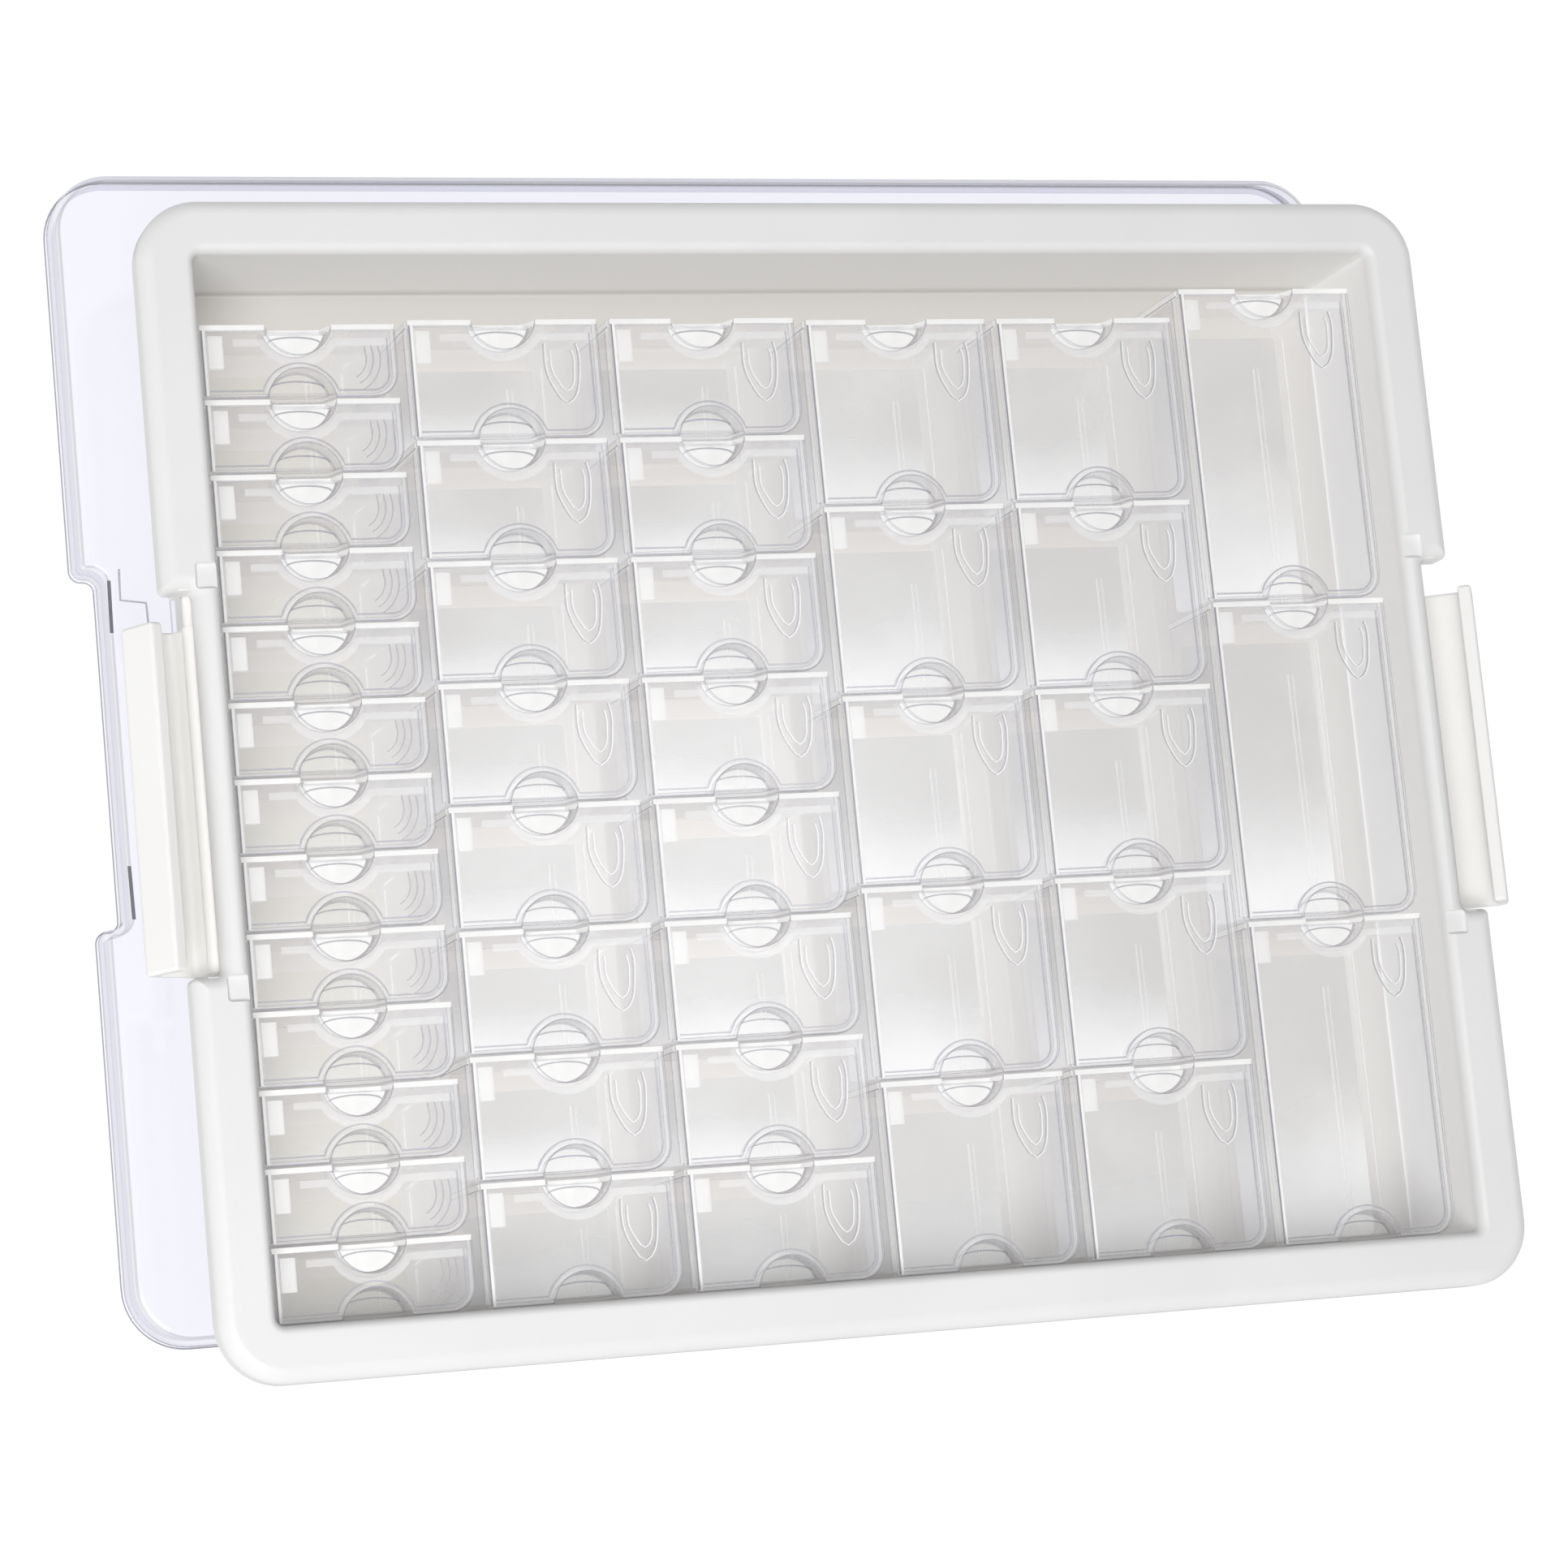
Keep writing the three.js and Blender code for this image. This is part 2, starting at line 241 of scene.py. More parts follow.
def frosted(name, colour, alpha, rough=0.35):
    """Milky edges, pads and ribs of the clear mouldings: pads where the plastic is thick or
    textured, and lines along edges and ribs that are painted highlight where bright and painted
    shade where grey or dark.
    """
    graph = material_graph(name)
    mottle = graph.ramp(graph.noise(scale=260, detail=2), low=0.3, high=0.7)
    shade = graph.mix(mottle, tuple(channel * 0.955 for channel in colour), colour)
    solid = graph.node("BsdfPrincipled", Base_Color=shade, Roughness=rough, IOR=1.49)
    return graph.surface(
        graph.node("MixShader", alpha, graph.node("BsdfTransparent"), solid))


TRAY_WHITE = moulding("white_moulding", light=(0.862, 0.862, 0.855), dark=(0.832, 0.832, 0.824),
                      rough=(0.34, 0.46), shading=tray_painted_light_and_shade)
LATCH_WHITE = moulding("latch_white", light=(0.945, 0.938, 0.918), dark=(0.925, 0.915, 0.893),
                       rough=(0.30, 0.40), shading=latch_painted_shade)
BOX = clear("box_clear", tint=(0.990, 0.991, 0.993), graze=(0.90, 0.90, 0.93),
            haze=0.012, haze_colour=(0.93, 0.93, 0.93), rough=0.22)
# box floors: the grey tint is painted shade, and the sweep of white haze towards the near end is
# painted light
BOX_FLOOR = clear("box_floor_clear", tint=(0.868, 0.874, 0.882), graze=(0.88, 0.88, 0.91),
                  haze=0.02, haze_colour=(0.97, 0.97, 0.97), rough=0.40, sweep=0.74)
# tiny box floors: a warmer tint, with a weaker sweep of painted light towards the near end
TINY_FLOOR = clear("tiny_floor_clear", tint=(0.955, 0.942, 0.897), graze=(0.90, 0.88, 0.86),
                   haze=0.02, haze_colour=(0.95, 0.94, 0.91), rough=0.40, sweep=0.25)
# painted warm light on the inner face of the far wall and the floor's edge beside it
BOX_PAINTED_LIGHT = clear("box_far_wall_painted_light", tint=(0.990, 0.974, 0.964), graze=(0.95, 0.93, 0.91),
                 haze=0.05, haze_colour=(0.95, 0.91, 0.89), rough=0.30)
LID = clear("lid_clear", tint=(0.990, 0.990, 0.993), graze=(0.93, 0.93, 0.95),
            haze=0.02, haze_colour=(0.95, 0.95, 0.95), rough=0.34, power=2.5, shine=1.3,
            ripple=0.00002)
COVER = clear("cover_clear", tint=(0.947, 0.947, 0.984), graze=(0.50, 0.50, 0.58),
              haze=0.02, haze_colour=(0.90, 0.90, 0.98), rough=0.06, power=2.4, ripple=0.00003)
# painted highlight: near-white lines along edges and beads of the clear mouldings
BRIGHT = frosted("bright_edge", colour=(0.98, 0.977, 0.965), alpha=0.96)
MILKY = frosted("milky_pad", colour=(0.95, 0.945, 0.93), alpha=0.55)
# pale ribs: partly moulded ribs and tongues, partly painted highlight lines
PALE = frosted("pale_rib", colour=(0.95, 0.95, 0.945), alpha=0.22)
# painted shade: grey, dark and faint lines along the edges of the clear mouldings
GREY = frosted("grey_edge", colour=(0.34, 0.34, 0.39), alpha=0.46, rough=0.2)
EDGE = frosted("dark_edge", colour=(0.27, 0.27, 0.32), alpha=0.62, rough=0.2)
DARK = frosted("foot_edge", colour=(0.16, 0.16, 0.20), alpha=0.80, rough=0.2)
FAINT = frosted("faint_line", colour=(0.42, 0.42, 0.46), alpha=0.24, rough=0.2)

# ------------------------------------------------------------------ outlines


def lift(loop, z):
    return [(x, y, z) for x, y in loop]


def rectangle(x0, y0, x1, y1):
    return [(x0, y0), (x1, y0), (x1, y1), (x0, y1)]


def corners(x0, y0, x1, y1):
    """The same four corners, but starting along Y's edge at the high corner."""
    return [(x1, y1), (x0, y1), (x0, y0), (x1, y0)]


def arc(centre_x, centre_y, radius, start, end, steps):
    """Points along an arc between two angles in degrees."""
    angles = [math.radians(start + (end - start) * i / steps) for i in range(steps + 1)]
    return [(centre_x + radius * math.cos(angle), centre_y + radius * math.sin(angle))
            for angle in angles]


def rounded(poly, radii, steps):
    """Closed outline, anticlockwise, with each corner turned by an arc of its own radius."""
    out = []
    for i in range(len(poly)):
        corner = Vector(poly[i])
        back = (Vector(poly[i - 1]) - corner).normalized()
        ahead = (Vector(poly[(i + 1) % len(poly)]) - corner).normalized()
        radius = max(radii[i], 0.03)
        half = back.angle(ahead) / 2
        reach = radius / math.tan(half)
        centre = corner + (back + ahead).normalized() * (radius / math.sin(half))
        first, last = corner + back * reach - centre, corner + ahead * reach - centre
        start, end = math.atan2(first.y, first.x), math.atan2(last.y, last.x)
        turn = (end - start + math.pi) % (2 * math.pi) - math.pi
        for k in range(steps + 1):
            angle = start + turn * k / steps
            out.append((centre.x + radius * math.cos(angle),
                        centre.y + radius * math.sin(angle)))
    return out


def shrink(poly, radii, inset):
    """The outline moved inwards by the inset, with its radii to match."""
    points, new_radii = [], []
    for i in range(len(poly)):
        before, here, after = (Vector(poly[j % len(poly)]) for j in (i - 1, i, i + 1))
        edge_in, edge_out = (here - before).normalized(), (after - here).normalized()
        normal_in = Vector((-edge_in.y, edge_in.x))
        normal_out = Vector((-edge_out.y, edge_out.x))
        cross = edge_in.x * edge_out.y - edge_in.y * edge_out.x
        dot = 1 + normal_in.dot(normal_out)
        points.append(tuple(here + (normal_in + normal_out) * (inset / dot)))
        new_radii.append(max(radii[i] + (-inset if cross > 0 else inset), 0.05))
    return points, new_radii


def quarter(inset0, z0, inset1, z1, steps):
    """Quarter ellipse in (inset, height), starting upright and ending level."""
    angles = [math.pi / 2 * i / steps for i in range(steps + 1)]
    return [(inset1 + (inset0 - inset1) * math.cos(angle), z0 + (z1 - z0) * math.sin(angle))
            for angle in angles]


def notched(half_x, half_y, depth, half):
    """Rectangle with a shallow recess, 2 * half wide, in the middle of each short side."""
    return [(half_x, half), (half_x, half_y), (-half_x, half_y), (-half_x, half),
            (-half_x + depth, half), (-half_x + depth, -half),
            (-half_x, -half), (-half_x, -half_y), (half_x, -half_y), (half_x, -half),
            (half_x - depth, -half), (half_x - depth, half)]


# ------------------------------------------------------------------ mesh code


def work_mesh(name, mesh, merge):
    """Open a mesh for cleaning: merge close vertices."""
    work = bmesh.new()
    work.from_mesh(mesh)
    bmesh.ops.remove_doubles(work, verts=work.verts, dist=merge)
    return work


class Shell:
    """Collects closed shells in millimetres, each face with a material."""

    def __init__(self, *materials):
        self.verts, self.faces, self.slots = [], [], []
        self.materials = list(materials)

    def ring(self, points):
        start = len(self.verts)
        self.verts += points
        return list(range(start, len(self.verts)))

    def face(self, loop, mat):
        if mat not in self.materials:
            self.materials.append(mat)
        self.faces.append(tuple(loop))
        self.slots.append(self.materials.index(mat))

    def bridge(self, first, second, mat):
        """Faces between two rings; mat is a material, or gives one for each index."""
        for i in range(len(first)):
            j = (i + 1) % len(first)
            self.face((first[i], first[j], second[j], second[i]),
                      mat(i) if callable(mat) else mat)

    def stack(self, rings, mats):
        """Rings joined in turn, with one material or a list of one for each gap."""
        made = [self.ring(points) for points in rings]
        for k in range(len(made) - 1):
            self.bridge(made[k], made[k + 1], mats[k] if isinstance(mats, list) else mats)
        return made

    def annulus(self, outer, inner, mat):
        """Flat faces between two loops of different counts."""
        loops = [outer, inner[::-1]]
        indices = outer + inner[::-1]
        for triangle in tessellate_polygon(
                [[Vector(self.verts[i]) for i in loop] for loop in loops]):
            self.face([indices[i] for i in triangle], mat)

    def block(self, x0, y0, x1, y1, z0, z1, mat):
        """An upright block, open to no side."""
        loop = rectangle(x0, y0, x1, y1)
        low, high = self.stack([lift(loop, z0), lift(loop, z1)], mat)
        self.face(low[::-1], mat)
        self.face(high, mat)

    def strip(self, path, width, z0, z1, mat, side=None):
        """A flat rib of constant width along a path."""
        left, right = [], []
        last = len(path) - 1
        side = side or mat
        for i, (x, y) in enumerate(path):
            before, after = Vector(path[max(i - 1, 0)]), Vector(path[min(i + 1, last)])
            along = (after - before).normalized()
            out = Vector((-along.y, along.x)) * (width / 2)
            left.append((x + out.x, y + out.y))
            right.append((x - out.x, y - out.y))
        low_l, low_r, high_l, high_r = [
            self.ring(lift(loop, z)) for z in (z0, z1) for loop in (left, right)]
        for i in range(last):
            j = i + 1
            self.face((high_r[i], high_r[j], high_l[j], high_l[i]), mat)
            self.face((low_l[i], low_l[j], low_r[j], low_r[i]), mat)
            self.face((high_l[i], high_l[j], low_l[j], low_l[i]), side)
            self.face((low_r[i], low_r[j], high_r[j], high_r[i]), side)
        self.face((low_l[0], low_r[0], high_r[0], high_l[0]), side)
        self.face((low_r[-1], low_l[-1], high_l[-1], high_r[-1]), side)

    def mesh(self, name):
        mesh = bpy.data.meshes.new(name)
        mesh.from_pydata([(x * MM, y * MM, z * MM) for x, y, z in self.verts], [], self.faces)
        for mat in self.materials:
            mesh.materials.append(mat)
        mesh.polygons.foreach_set("material_index", self.slots)
        work = bmesh.new()
        work.from_mesh(mesh)
        bmesh.ops.remove_doubles(work, verts=work.verts, dist=2e-6)
        bmesh.ops.dissolve_degenerate(work, dist=1e-7, edges=work.edges)
        bmesh.ops.recalc_face_normals(work, faces=work.faces)
        for face in work.faces:
            face.smooth = True
        work.to_mesh(mesh)
        work.free()
        mesh.set_sharp_from_angle(angle=SHARP_ANGLE)
        mesh.update()
        return mesh


def place(mesh, name, node, slot, at):
    """Stand a mesh in the scene in place of a CAD node, at a point in millimetres."""
    item = bpy.data.objects.new(name, mesh)
    bpy.context.scene.collection.objects.link(item)
    item.location = [value * MM for value in at]
    item.modifiers.new("even_normals", "WEIGHTED_NORMAL").keep_sharp = True
    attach(item, node)
    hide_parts(node)


def footprint(node):
    """A CAD node's middle in X and Y, and its half sizes, in millimetres."""
    low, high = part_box(node)
    return ((low.x + high.x) / 2 / MM, (low.y + high.y) / 2 / MM,
            (high.x - low.x) / 2 / MM, (high.y - low.y) / 2 / MM)


def block_tool(spans, bevel):
    """A block for carving, from its (low, high) spans in X, Y and Z."""
    mesh = bpy.data.meshes.new("cut")
    work = bmesh.new()
    bmesh.ops.create_cube(work, size=1)
    for vert in work.verts:
        vert.co = Vector([(low + high) / 2 + unit * (high - low)
                          for unit, (low, high) in zip(vert.co, spans)]) * MM
    if bevel:
        bmesh.ops.bevel(work, geom=work.edges[:], offset=bevel * MM, segments=3,
                        affect="EDGES", profile=0.5)
    work.to_mesh(mesh)
    work.free()
    return bpy.data.objects.new("cut", mesh)


def rod_tool(x, z, y_span, radius, segments=32):
    """A rod along Y for carving."""
    y0, y1 = y_span
    mesh = bpy.data.meshes.new("rod")
    work = bmesh.new()
    bmesh.ops.create_cone(work, cap_ends=True, segments=segments, radius1=radius * MM,
                          radius2=radius * MM, depth=(y1 - y0) * MM)
    bmesh.ops.rotate(work, verts=work.verts, cent=(0, 0, 0),
                     matrix=Matrix.Rotation(math.pi / 2, 3, "X"))
    bmesh.ops.translate(work, verts=work.verts, vec=Vector((x, (y0 + y1) / 2, z)) * MM)
    work.to_mesh(mesh)
    work.free()
    return bpy.data.objects.new("rod", mesh)


def carve(mesh, cuts, joins):
    """The mesh, of one material, with the joins added to it and then the cuts taken out."""
    scene_objects = bpy.context.scene.collection.objects
    target = bpy.data.objects.new("work", mesh)
    scene_objects.link(target)
    for tools, operation in ((joins, "UNION"), (cuts, "DIFFERENCE")):
        for tool in tools:
            scene_objects.link(tool)
            boolean = target.modifiers.new("b", "BOOLEAN")
            boolean.operation = operation
            boolean.object = tool
            boolean.solver = "EXACT"
            boolean.material_mode = "INDEX"
    depsgraph = bpy.context.evaluated_depsgraph_get()
    done = bpy.data.meshes.new_from_object(target.evaluated_get(depsgraph))
    for item in [target] + cuts + joins:
        bpy.data.objects.remove(item)
    work = bmesh.new()
    work.from_mesh(done)
    bmesh.ops.remove_doubles(work, verts=work.verts, dist=1e-6)
    for face in work.faces:
        face.smooth = True
        face.material_index = 0
    work.to_mesh(done)
    work.free()
    done.set_sharp_from_angle(angle=SHARP_ANGLE)
    return done


# ------------------------------------------------------------------ tray
TRAY_X, TRAY_Y, TRAY_HALF_X, TRAY_HALF_Y = footprint("tray")
TRAY_BASE, TRAY_TOP = (corner.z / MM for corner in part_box("tray"))
TRAY_RIM = 13.0
TRAY_WALL = 2.4
WELL_X, WELL_Y = TRAY_HALF_X - TRAY_RIM, TRAY_HALF_Y - TRAY_RIM  # half sizes inside the rim
RECESS_DEPTH = TRAY_HALF_X - 156.4
RECESS_HALF = 44.25
SKIRT_LIFT = 3.0  # how much higher the skirt ends in the latch recesses
PIVOT_X, PIVOT_Z = 156.0, 43.4  # latch pivots, X from the tray's middle


def tray_shell():
    shell = Shell(TRAY_WHITE)
    steps = 14
    poly = notched(TRAY_HALF_X, TRAY_HALF_Y, RECESS_DEPTH, RECESS_HALF)
    radii = [1.6, 15, 15, 1.6, 1.6, 1.6] * 2
    under = TRAY_TOP - TRAY_WALL - 0.02
    skirt = TRAY_TOP - 9

    def outer(inset, z, raised=0):
        """The rim outline, raised on the floor of each recess (corners 4, 5, 10 and 11)."""
        points = rounded(*shrink(poly, radii, inset), steps)
        return [(x, y, z + raised if i // (steps + 1) in (4, 5, 10, 11)
                 and abs(y) < RECESS_HALF - 0.2 + inset else z)
                for i, (x, y) in enumerate(points)]

    def well(offset, z):
        """The well outline, moved outwards by the offset."""
        half_x, half_y = WELL_X + offset, WELL_Y + offset
        return lift(rounded(corners(-half_x, -half_y, half_x, half_y),
                            [max(2.0 + offset, 0.4)] * 4, 8), z)

    # rim: up the inside of the skirt, round its foot, and over to the flat top
    rings = [outer(TRAY_WALL, under)]
    for inset, rise in [(TRAY_WALL, 0.5), (TRAY_WALL - 0.4, 0), (0.5, 0), (0.12, 0.2), (0, 0.6)]:
        rings.append(outer(inset, skirt + rise, SKIRT_LIFT))
    rings += [outer(inset, z) for inset, z in quarter(0, TRAY_TOP - 4.2, 3.7, TRAY_TOP, 9)]
    rim = shell.stack(rings, TRAY_WHITE)
    # inside: rolled edge, wall, floor
    floor = TRAY_BASE + 2.2
    profile = quarter(0, TRAY_TOP - 3.0, 2.15, TRAY_TOP, 8)[::-1]
    profile += [(0, TRAY_TOP - 14), (0, floor + 14), (0, floor + 0.9), (-0.12, floor + 0.4),
                (-0.4, floor + 0.12), (-0.9, floor)]
    inside = shell.stack([well(offset, z) for offset, z in profile], TRAY_WHITE)
    shell.annulus(rim[-1], inside[0], TRAY_WHITE)
    shell.face(inside[-1], TRAY_WHITE)
    # outside of the wall and the underside: (offset from the wall's outside, height from base)
    foot = [(0, 2.2), (-0.35, 0.9), (-1.1, 0.25), (-2.4, 0), (-9, 0), (-9.6, 0.5), (-10.2, 0.6)]
    outside = shell.stack([well(TRAY_WALL, under)] + [
        well(TRAY_WALL + offset, TRAY_BASE + z) for offset, z in foot], TRAY_WHITE)
    shell.annulus(rim[0], outside[0], TRAY_WHITE)
    shell.face(outside[-1][::-1], TRAY_WHITE)
    return shell


def mirrored(low, high, sign):
    return sorted((sign * low, sign * high))


def tray_mesh():
    """The shell with a lug, a shallow rim pocket and a pivot hole at each end of each recess."""
    mesh = tray_shell().mesh("tray_body")
    cuts, joins = [], []
    for side in (1, -1):
        for end in (1, -1):
            joins.append(block_tool(
                (mirrored(151.6, 160.0, side), mirrored(44.4, 46.7, end),
                 (TRAY_TOP - 13, TRAY_TOP - 2.0)), bevel=0.4))
            cuts.append(block_tool(
                (mirrored(WELL_X - 3, WELL_X + 5.6, side), mirrored(44.45, 50.6, end),
                 (TRAY_TOP - 1.3, TRAY_TOP + 4)), bevel=0.9))
            cuts.append(rod_tool(side * PIVOT_X, PIVOT_Z, mirrored(43.0, 46.9, end), 2.15))
    return carve(mesh, cuts, joins)


place(tray_mesh(), "tray_body", "tray", "white_moulding", (TRAY_X, TRAY_Y, 0))

# ------------------------------------------------------------------ latches
LATCH_OUT, LATCH_TOP, LATCH_LIP = 164.9, 58.2, 153.0  # outer face, top and lip, when closed
LATCH_THICK = 3.0
LATCH_HALF = 40.0
LATCH_Y = -2.9
LATCH_OPEN = 61  # degrees


def latch_mesh(side):
    """A hooked section drawn closed, run along Y about its pivot, then swung open."""
    out, top, lip, thick, half = LATCH_OUT, LATCH_TOP, LATCH_LIP, LATCH_THICK, LATCH_HALF
    # section in (x, z) and the radius at each corner
    section = [(PIVOT_X, PIVOT_Z - 2), (out, PIVOT_Z - 2), (out, top), (lip, top),
               (lip, top - thick - 0.4), (lip + 1.4, top - thick - 0.4),
               (lip + 1.9, top - thick), (out - thick, top - thick),
               (out - thick, PIVOT_Z + 1), (PIVOT_X, PIVOT_Z + 1)]
    radii = [0.05, 2.6, 2.4, 0.9, 0.5, 0.3, 0.3, 1.3, 1.3, 0.05]
    ease = [(0, 0.9), (0.12, 0.45), (0.45, 0.12), (0.9, 0)]  # (distance from the end, inset)
    stations = [(-half + y, inset) for y, inset in ease]
    stations += [(half - y, inset) for y, inset in reversed(ease)]
    shell = Shell(LATCH_WHITE)
    made = shell.stack(
        [[(x - PIVOT_X, y, z - PIVOT_Z) for x, z in rounded(*shrink(section, radii, inset), 6)]
         for y, inset in stations], LATCH_WHITE)
    shell.face(made[0][::-1], LATCH_WHITE)
    shell.face(made[-1], LATCH_WHITE)
    # pivot barrel and pins, and a shallow line along the arm
    joins = [rod_tool(0, 0, (-half + 0.02, half - 0.02), 2.2, segments=40),
             rod_tool(0, 0, (-half - 9.9, half + 9.9), 1.8)]
    face, rise = out - PIVOT_X, top - PIVOT_Z
    cuts = [block_tool(((face - 0.45, face + 2), (-half + 5, half - 5),
                        (rise - 5.4, rise - 4.6)), bevel=0)]
    mesh = carve(shell.mesh("latch"), cuts, joins)
    swing = Matrix.Rotation(math.radians(LATCH_OPEN), 4, "Y")
    flip = Matrix.Scale(-1, 4, (1, 0, 0)) if side < 0 else Matrix.Identity(4)
    pivot = Matrix.Translation(Vector((side * PIVOT_X, LATCH_Y, PIVOT_Z)) * MM)
    mesh.transform(pivot @ flip @ swing)
    if side < 0:
        mesh.flip_normals()
    mesh.update()
    return mesh


for name, side in (("latch_left", -1), ("latch_right", 1)):
    place(latch_mesh(side), name + "_clip", name, "latch_white", (TRAY_X, TRAY_Y, 0))

# ------------------------------------------------------------------ cover
COVER_X, COVER_Y, COVER_HALF_X, COVER_HALF_Y = footprint("clear_cover")
COVER_WALL = 2.0
SHOULDER_Z, PANEL_Z = 9.5, 12.0  # outer heights of the border and of the raised panel


def cover_shell():
    shell = Shell(COVER)
    poly = notched(COVER_HALF_X, COVER_HALF_Y, 5.6, 41.75)
    radii = [3.0, 15, 15, 3.0, 2.2, 2.2] * 2
    shoulder, ceiling = SHOULDER_Z, SHOULDER_Z - COVER_WALL

    def outline(inset, z):
        return lift(rounded(*shrink(poly, radii, inset), 14), z)

    def panel(inset, z):
        half_x, half_y = COVER_HALF_X - 22 - inset, COVER_HALF_Y - 24 - inset
        return lift(rounded(corners(-half_x, -half_y, half_x, half_y), [10 - inset] * 4, 12), z)

    # outside, from the foot up to the border and the raised panel: (inset, height)
    profile = [(0.45, 0.0), (0.1, 0.15), (0, 0.6), (0, 1.7), (0.45, 2.1), (0.45, 2.5),
               (0.45, shoulder - 2.8)]
    profile += [(0.45 + inset, z) for inset, z in quarter(0, shoulder - 2.8, 2.6, shoulder, 7)]
    # dark, grey and faint bands at the foot and the edges are painted shade lines
    outside = shell.stack([outline(*station) for station in profile],
                          [DARK, DARK, GREY, COVER, EDGE] + [COVER] * 6 + [FAINT, GREY, COVER])
    step = [(-0.6, shoulder), (-0.15, shoulder + 0.15), (0.15, shoulder + 0.6),
            (0.75, PANEL_Z - 0.6), (1.05, PANEL_Z - 0.15), (1.5, PANEL_Z)]
    raised = shell.stack([panel(*station) for station in step],
                         [COVER, GREY, COVER, GREY, COVER])
    shell.annulus(outside[-1], raised[0], COVER)
    shell.face(raised[-1], COVER)
    # inside
    profile = [(COVER_WALL - 0.3, 0.0), (COVER_WALL, 0.3), (COVER_WALL, ceiling - 2.0)]
    profile += [(COVER_WALL + inset, z) for inset, z in quarter(0, ceiling - 2.0, 1.9, ceiling, 5)]
    inside = shell.stack([outline(*station) for station in profile], COVER)
    shell.bridge(outside[0], inside[0], COVER)
    panel_ceiling = PANEL_Z - COVER_WALL
    step = [(1.4, ceiling), (1.8, ceiling + 0.2), (2.6, panel_ceiling - 0.2),
            (3.0, panel_ceiling)]
    raised = shell.stack([panel(*station) for station in step], COVER)
    shell.annulus(inside[-1], raised[0], COVER)
    shell.face(raised[-1], COVER)
    # moulded catch ledge and its slit at each end of each latch recess
    ledge = [(156.6, 43.1), (156.8, 35.6), (150.7, 34.8), (150.5, 28.9)]
    slit = [(159.2, 40.4), (159.4, 27.8)]
    for side in (1, -1):
        for end in (1, -1):
            for path, width, height, mat in ((ledge, 0.55, 0.22, GREY), (slit, 0.85, 0.2, DARK)):
                shell.strip([(side * x, end * y) for x, y in path], width,
                            shoulder + 0.02, shoulder + height, mat)
    return shell


place(cover_shell().mesh("cover_shell"), "clear_cover_shell", "clear_cover", "cover_clear",
      (COVER_X, COVER_Y, 0))

# ------------------------------------------------------------------ containers
# A container runs from x = 0 to LENGTH, and from y = -width, its near side, to y = 0.
LENGTH, HEIGHT = 47.0, 27.5
WIDTHS = {"tiny": 17.4, "small": 28.7, "medium": 46.1, "large": 79.6}
BOX_WALL = FLOOR_Z = LID_THICK = 1.2
LID_Z = HEIGHT - LID_THICK
WALL_TOP = LID_Z - 0.3
CORNER_STEPS = 6
CORNER_POINTS = CORNER_STEPS + 1
# finger notches: arcs centred a little outside each long edge
NOTCH_RADIUS, NOTCH_OUT, NOTCH_DEPTH = 8.07, 1.07, 5.0
NOTCH_X = LENGTH / 2
# points along the long walls, closer together where the finger notches begin and end
WALL_XS = [9, 14.2, 15.0, 15.5, 16.0, 16.6, 17.4, 18.6, 20.2, 22, 23.5, 25, 26.8, 28.4, 29.6,
           30.4, 31, 31.5, 32, 32.8, 37]


def box_outline(width, sides, radii):
    """Outline with its own inset on the left, near, right and far sides."""
    left, near, right, far = sides
    turn = rounded(rectangle(left, -width + near, LENGTH - right, -far), radii, CORNER_STEPS)
    near_wall = [(x, -width + near) for x in WALL_XS]
    far_wall = [(x, -far) for x in reversed(WALL_XS)]
    start, end = turn[-1][1], turn[0][1]
    left_wall = [(left, min(-1.2, start - 0.02)), (left, min(-1.3, start - 0.06)),
                 (left, max(-width + 1.3, end + 0.06)), (left, max(-width + 1.2, end + 0.02))]
    return (turn[:CORNER_POINTS] + near_wall + turn[CORNER_POINTS:3 * CORNER_POINTS]
            + far_wall + turn[3 * CORNER_POINTS:] + left_wall)


def dip(x):
    """How far the edge drops across the finger notch."""
    share = min(max((8.3 - abs(x - NOTCH_X)) / 2.6, 0), 1)
    return NOTCH_DEPTH * share * share * (3 - 2 * share)


def notch_angle(radius, inset):
    """Degrees from level at which a notch arc of this radius meets a line inside the edge."""
    return math.degrees(math.asin((NOTCH_OUT + inset) / radius))


def wall_top(width, x, y):
    """Height of the wall, lower at the left end and across the finger notches."""
    z = WALL_TOP
    if x < 1.7:
        z = min(z, HEIGHT - 4.6 if -width + 1.25 < y < -1.25 else HEIGHT - 2.1)
    if (y > -1.25 or y < -width + 1.25) and abs(x - NOTCH_X) < 9 and dip(x) > 0:
        z = min(z, WALL_TOP - dip(x) + 0.3)
    return z


def sweep_in(radius, height):
    """How far a floor fillet of this radius reaches in at a height above the floor."""
    if height >= radius:
        return 0.0
    return radius - math.sqrt(max(radius * radius - (radius - height) ** 2, 0))


